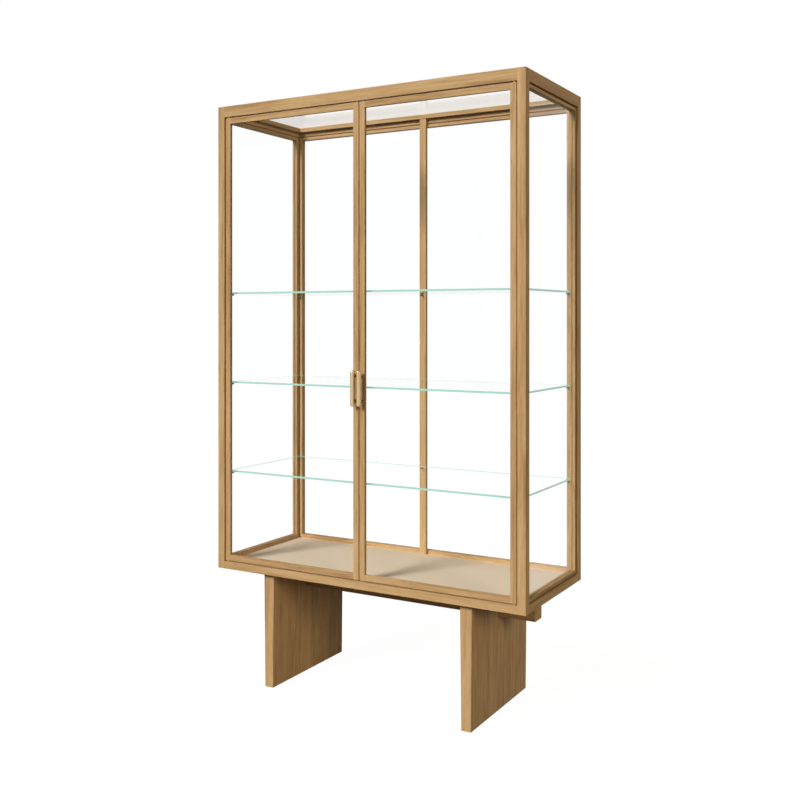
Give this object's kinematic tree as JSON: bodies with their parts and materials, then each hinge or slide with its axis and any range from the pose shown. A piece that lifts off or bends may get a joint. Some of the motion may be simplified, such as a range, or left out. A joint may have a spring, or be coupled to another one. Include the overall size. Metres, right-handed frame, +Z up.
{
  "type": "display cabinet",
  "caption": "Oak-framed glass display cabinet with hinged glazed doors, bar handles and glass shelves, standing on tapered slab legs joined by a centre beam.",
  "frame": {"origin": "on the floor, at the middle of the overall box with the handles included", "axes": "+Z up, +Y from the doors to the back, +X to the right seen from the front"},
  "size_m": [1.1, 0.473, 1.9],
  "materials": {
    "oak": "light oak, matt oiled",
    "beige_panel": "smooth pale beige",
    "clear_glass": "clear, green edge",
    "satin_brass": "satin, pale",
    "bush_brass": "turned",
    "steel": "plain",
    "dark_metal": "dark bronze",
    "felt": "dense felt"
  },
  "bodies": {
    "cabinet": {"back_left_post": "oak", "back_mullion": "oak", "back_panel_glass": "clear_glass", "back_panel_rails": "oak", "back_panel_stiles": "oak", "back_right_post": "oak", "base_screws": "steel", "bottom_back_rail": "oak", "bottom_front_rail": "oak", "bottom_left_rail": "oak", "bottom_right_rail": "oak", "catch_magnets": "steel", "centre_beam": "oak", "floor_panel": "beige_panel", "foot_pads": "felt", "front_left_post": "oak", "front_right_post": "oak", "left_leg": "oak", "left_panel_glass": "clear_glass", "left_panel_rails": "oak", "left_panel_stiles": "oak", "lower_shelf": "clear_glass", "middle_shelf": "clear_glass", "pivot_bushes": "bush_brass", "right_leg": "oak", "right_panel_glass": "clear_glass", "right_panel_rails": "oak", "right_panel_stiles": "oak", "shelf_pins": "dark_metal", "top_back_rail": "oak", "top_front_rail": "oak", "top_left_rail": "oak", "top_panel_glass": "clear_glass", "top_panel_rails": "oak", "top_panel_stiles": "oak", "top_right_rail": "oak", "upper_shelf": "clear_glass"},
    "left_door": {"left_door_bottom_rail": "oak", "left_door_glass": "clear_glass", "left_door_hinge_stile": "oak", "left_door_magnet": "steel", "left_door_meeting_stile": "oak", "left_door_pivots": "steel", "left_door_top_rail": "oak", "left_handle": "satin_brass", "left_handle_screws": "steel"},
    "right_door": {"right_door_bottom_rail": "oak", "right_door_glass": "clear_glass", "right_door_hinge_stile": "oak", "right_door_magnet": "steel", "right_door_meeting_stile": "oak", "right_door_pivots": "steel", "right_door_top_rail": "oak", "right_handle": "satin_brass", "right_handle_screws": "steel"}
  },
  "joints": [
    {"name": "left_door_hinge", "type": "hinge", "parent": "cabinet", "child": "left_door", "pos_m": [-0.5125, -0.2045, 0.394], "axis": [0, 0, -1], "range_deg": [0, 105]},
    {"name": "right_door_hinge", "type": "hinge", "parent": "cabinet", "child": "right_door", "pos_m": [0.5125, -0.2045, 0.394], "axis": [0, 0, 1], "range_deg": [0, 105]}
  ]
}
